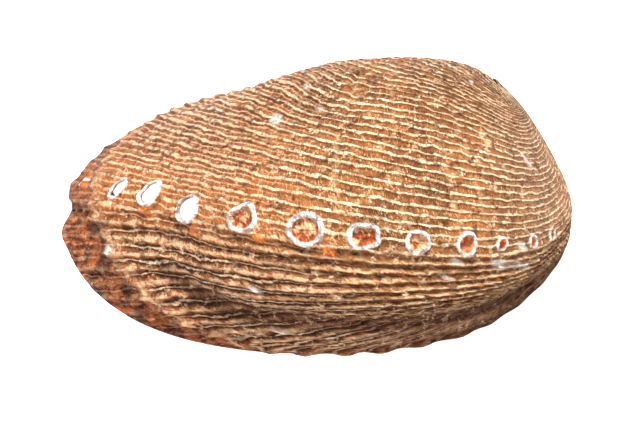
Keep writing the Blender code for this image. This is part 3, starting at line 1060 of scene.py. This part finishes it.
# %% [markdown]
# The newest strip at the lip is dark red-brown, edged by a pale line where the last pause was, and
# the lumps beside the young pores are orange.
# %% Lip and lumps
LIP_DARK, LIP_RED, LIP_LINE = (0.060, 0.013, 0.006), (0.46, 0.14, 0.045), (0.92, 0.68, 0.42)
LUMP_RED, LUMP_ORANGE = (0.30, 0.065, 0.015), (0.78, 0.27, 0.05)
lip_share = times(ramp(age, 15.0, 5.0), ramp(cord, 22.0, 30.0))
lip_colour = mix(ramp(noise(480.0, 5.0, rough=0.7), 0.44, 0.60), LIP_DARK, LIP_RED)
colour = mix(times(lip_share, plus(noise(300.0, 3.0), 0.2)), colour, lip_colour)
lip_line = times(ramp(distance(wavy_age, 9.3), 1.0, 0.2), ramp(noise(420.0, 3.0), 0.42, 0.56))
colour = mix(times(times(lip_line, ramp(cord, 24.0, 30.0)), 0.55), colour, LIP_LINE)
lump_colour = mix(ramp(noise(500.0, 3.0), 0.4, 0.6), LUMP_RED, LUMP_ORANGE)
colour = mix(times(ramp(number("lump"), 0.25, 0.6), 0.85), colour, lump_colour)
print("lip is coloured")

# %% [markdown]
# The whole skin has a warm cast, deeper on the young part. Over it lies what is pale: chalk where
# the brown is worn off, the crescent of the half-made pore, fine specks, and the worn old spire.
# %% Warm cast and worn spots
WARM_CAST, DEEP_CAST = (1.0, 0.87, 0.76), (0.76, 0.60, 0.52)
CHALK_PALE, CRESCENT_PALE = (0.88, 0.82, 0.72), (0.85, 0.83, 0.80)
SPECK_PALE, SPIRE_PALE = (0.74, 0.68, 0.58), (0.66, 0.43, 0.24)
cast = mix(times(ramp(age, 70.0, 42.0), 0.9), WARM_CAST, DEEP_CAST)
colour = mix(1.0, colour, cast, blend_type="MULTIPLY")
chalk = ramp(times(number("chalk"), times(noise(420.0, 5.0, rough=0.75), 1.9)), 0.35, 1.15)
colour = mix(times(chalk, 0.75), colour, CHALK_PALE)
colour = mix(times(ramp(number("crescent"), 0.3, 0.6), 0.9), colour, CRESCENT_PALE)
colour = mix(times(ramp(noise(900.0, 2.0), 0.70, 0.76), 0.35), colour, SPECK_PALE)
worn = times(ramp(age, 225.0, 262.0), ramp(noise(380.0, 4.0), 0.40, 0.62))
colour = mix(times(worn, 0.55), colour, SPIRE_PALE)
print("worn spots are set")

# %% [markdown]
# Crater rims are grey-white lime. The plugs are red-brown, and the smallest old ones bright
# orange-red.
# %% Craters
RIM_GREY, RIM_WHITE = (0.30, 0.27, 0.26), (0.88, 0.85, 0.82)
PLUG_RED, PLUG_PALE, OLD_PLUG = (0.30, 0.060, 0.016), (0.85, 0.46, 0.24), (0.72, 0.17, 0.040)
rim_share = times(ramp(distance(ring, 0.89), 0.24, 0.10), ramp(noise(500.0, 3.0), 0.26, 0.46))
rim_colour = mix(ramp(noise(700.0), 0.36, 0.56), RIM_GREY, RIM_WHITE)
colour = mix(times(rim_share, 0.9), colour, rim_colour)
plug_colour = mix(ramp(noise(650.0, 4.0), 0.42, 0.6), PLUG_RED, PLUG_PALE)
plug_colour = mix(ramp(age, 90.0, 112.0), plug_colour, OLD_PLUG)
colour = mix(ramp(ring, 0.78, 0.68), colour, plug_colour)
print("craters are coloured")

# %% [markdown]
# The brown skin is dry, so it is rough and hardly shines. Threads, hatching and grain also bend the
# light a little, finer than the mesh can show.
# %% Roughness and grain of the back
feed(shader.inputs["Base Color"], colour)
feed(shader.inputs["Roughness"], plus(times(noise(200.0), 0.25), 0.58))
feed(shader.inputs["Specular IOR Level"], 0.12)
grain = times(noise(800.0, 5.0), plus(times(crust, 1.2), 0.8))
bumps(shader, plus(plus(times(thread, 0.5), times(hatch, 0.45)), grain), 0.0009, 1.0)
back.data.materials.append(material)
print("back finish has", len(material.node_tree.nodes), "nodes")

# %% [markdown]
# Mother-of-pearl: thin layers of lime that split light into soft green and pink, made here with a
# thin film over a pale, fairly smooth surface that has a faint wavy tint.
# %% Finish of the pearl
PEARL_GREEN, PEARL_PINK, PEARL_BLUE = (0.72, 0.76, 0.70), (0.80, 0.68, 0.72), (0.55, 0.72, 0.74)
shader = new_material("mother_of_pearl")
tone = mix(ramp(noise(55.0, 4.0), 0.35, 0.65), PEARL_GREEN, PEARL_PINK)
feed(shader.inputs["Base Color"], mix(ramp(noise(120.0, 3.0), 0.55, 0.75), tone, PEARL_BLUE))
feed(shader.inputs["Roughness"], plus(times(noise(90.0), 0.2), 0.14))
feed(shader.inputs["Coat Weight"], 0.5)
feed(shader.inputs["Coat Roughness"], 0.12)
feed(shader.inputs["Thin Film Thickness"], plus(times(noise(60.0), 260.0), 300.0))
bumps(shader, noise(160.0, 2.0), 0.0004, 0.35)
pearl.data.materials.append(material)
print("pearl finish is set")

# %% [markdown]
# Both skins stand for the one solid and move with it.
# %% Skins in place of the solid
for piece in (back, pearl):
    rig.ride(piece, "root")
    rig.replaces(piece, "shell")
    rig.slot(piece, "shell")
print("skins that replace the solid: 2")

# %% [markdown]
# The setting: a plain white light table, as the photo's pure white ground suggests. It also shines
# up through the open pores.
# %% The table
bpy.ops.mesh.primitive_plane_add(size=6)
floor = bpy.context.object
floor.name = "floor"
shader = new_material("pale_table")
feed(shader.inputs["Base Color"], (0.9, 0.9, 0.9, 1))
feed(shader.inputs["Roughness"], 0.9)
feed(shader.inputs["Emission Color"], (1, 1, 1, 1))
feed(shader.inputs["Emission Strength"], 0.75)
floor.data.materials.append(material)
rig.stage(floor)
print("table is laid")

# %% [markdown]
# A soft light from above and a little behind, a weaker one from the front, and an even pale
# surrounding that is kept low so that the relief stays crisp.
# %% Lights


def area_light(name, place, size, power):
    data = bpy.data.lights.new(name, "AREA")
    data.size, data.energy = size, power
    lamp = bpy.data.objects.new(name, data)
    lamp.location = place
    aim = -np.array(place)
    tilt = np.arccos(-aim[2] / np.linalg.norm(aim))
    lamp.rotation_euler = (tilt, 0, np.arctan2(aim[1], aim[0]) - np.pi / 2)
    bpy.context.scene.collection.objects.link(lamp)


area_light("key", (0.05, 0.12, 0.6), 0.16, 12.6)
area_light("fill", (0.0, -0.6, 0.36), 0.25, 4.0)
world = bpy.data.worlds.new("studio")
world.use_nodes = True
world.node_tree.nodes["Background"].inputs[0].default_value = (1, 1, 1, 1)
world.node_tree.nodes["Background"].inputs[1].default_value = 0.16
bpy.context.scene.world = world
bpy.context.scene.view_settings.view_transform = "Standard"
print("lights", [o.name for o in bpy.data.objects if o.type == "LIGHT"])

# %% [markdown]
# The camera looks along +Y from about 50 degrees above the table, 600 mm away with a long lens,
# which the nearly parallel look of the photo asks for.
# %% The camera
CAMERA_RISE = 50.5 * DEG
CAMERA_FAR = 600
data = bpy.data.cameras.new("camera")
data.lens = 190.5
data.sensor_width = 36
data.shift_x, data.shift_y = -0.0397, -0.0106
camera = bpy.data.objects.new("camera", data)
spot = np.array([0, -CAMERA_FAR * np.cos(CAMERA_RISE), CAMERA_FAR * np.sin(CAMERA_RISE)]) - MIDDLE
camera.location = spot * MM
camera.rotation_euler = (np.pi / 2 - CAMERA_RISE, 0, 0)
bpy.context.scene.collection.objects.link(camera)
bpy.context.scene.camera = camera
print("camera at", [round(v, 3) for v in camera.location])

# %% [markdown]
# Last, the sizes before and after are written down as plain numbers.
# %% Sizes
end_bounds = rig.bounds()
print("bounds", start_bounds, end_bounds)


def plain(value):
    if isinstance(value, dict):
        return {str(key): plain(item) for key, item in value.items()}
    if isinstance(value, (str, bool)) or value is None:
        return value
    try:
        return [plain(item) for item in value]
    except TypeError:
        return float(value)


with open("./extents.json", "w") as file:
    json.dump([plain(start_bounds), plain(end_bounds)], file)
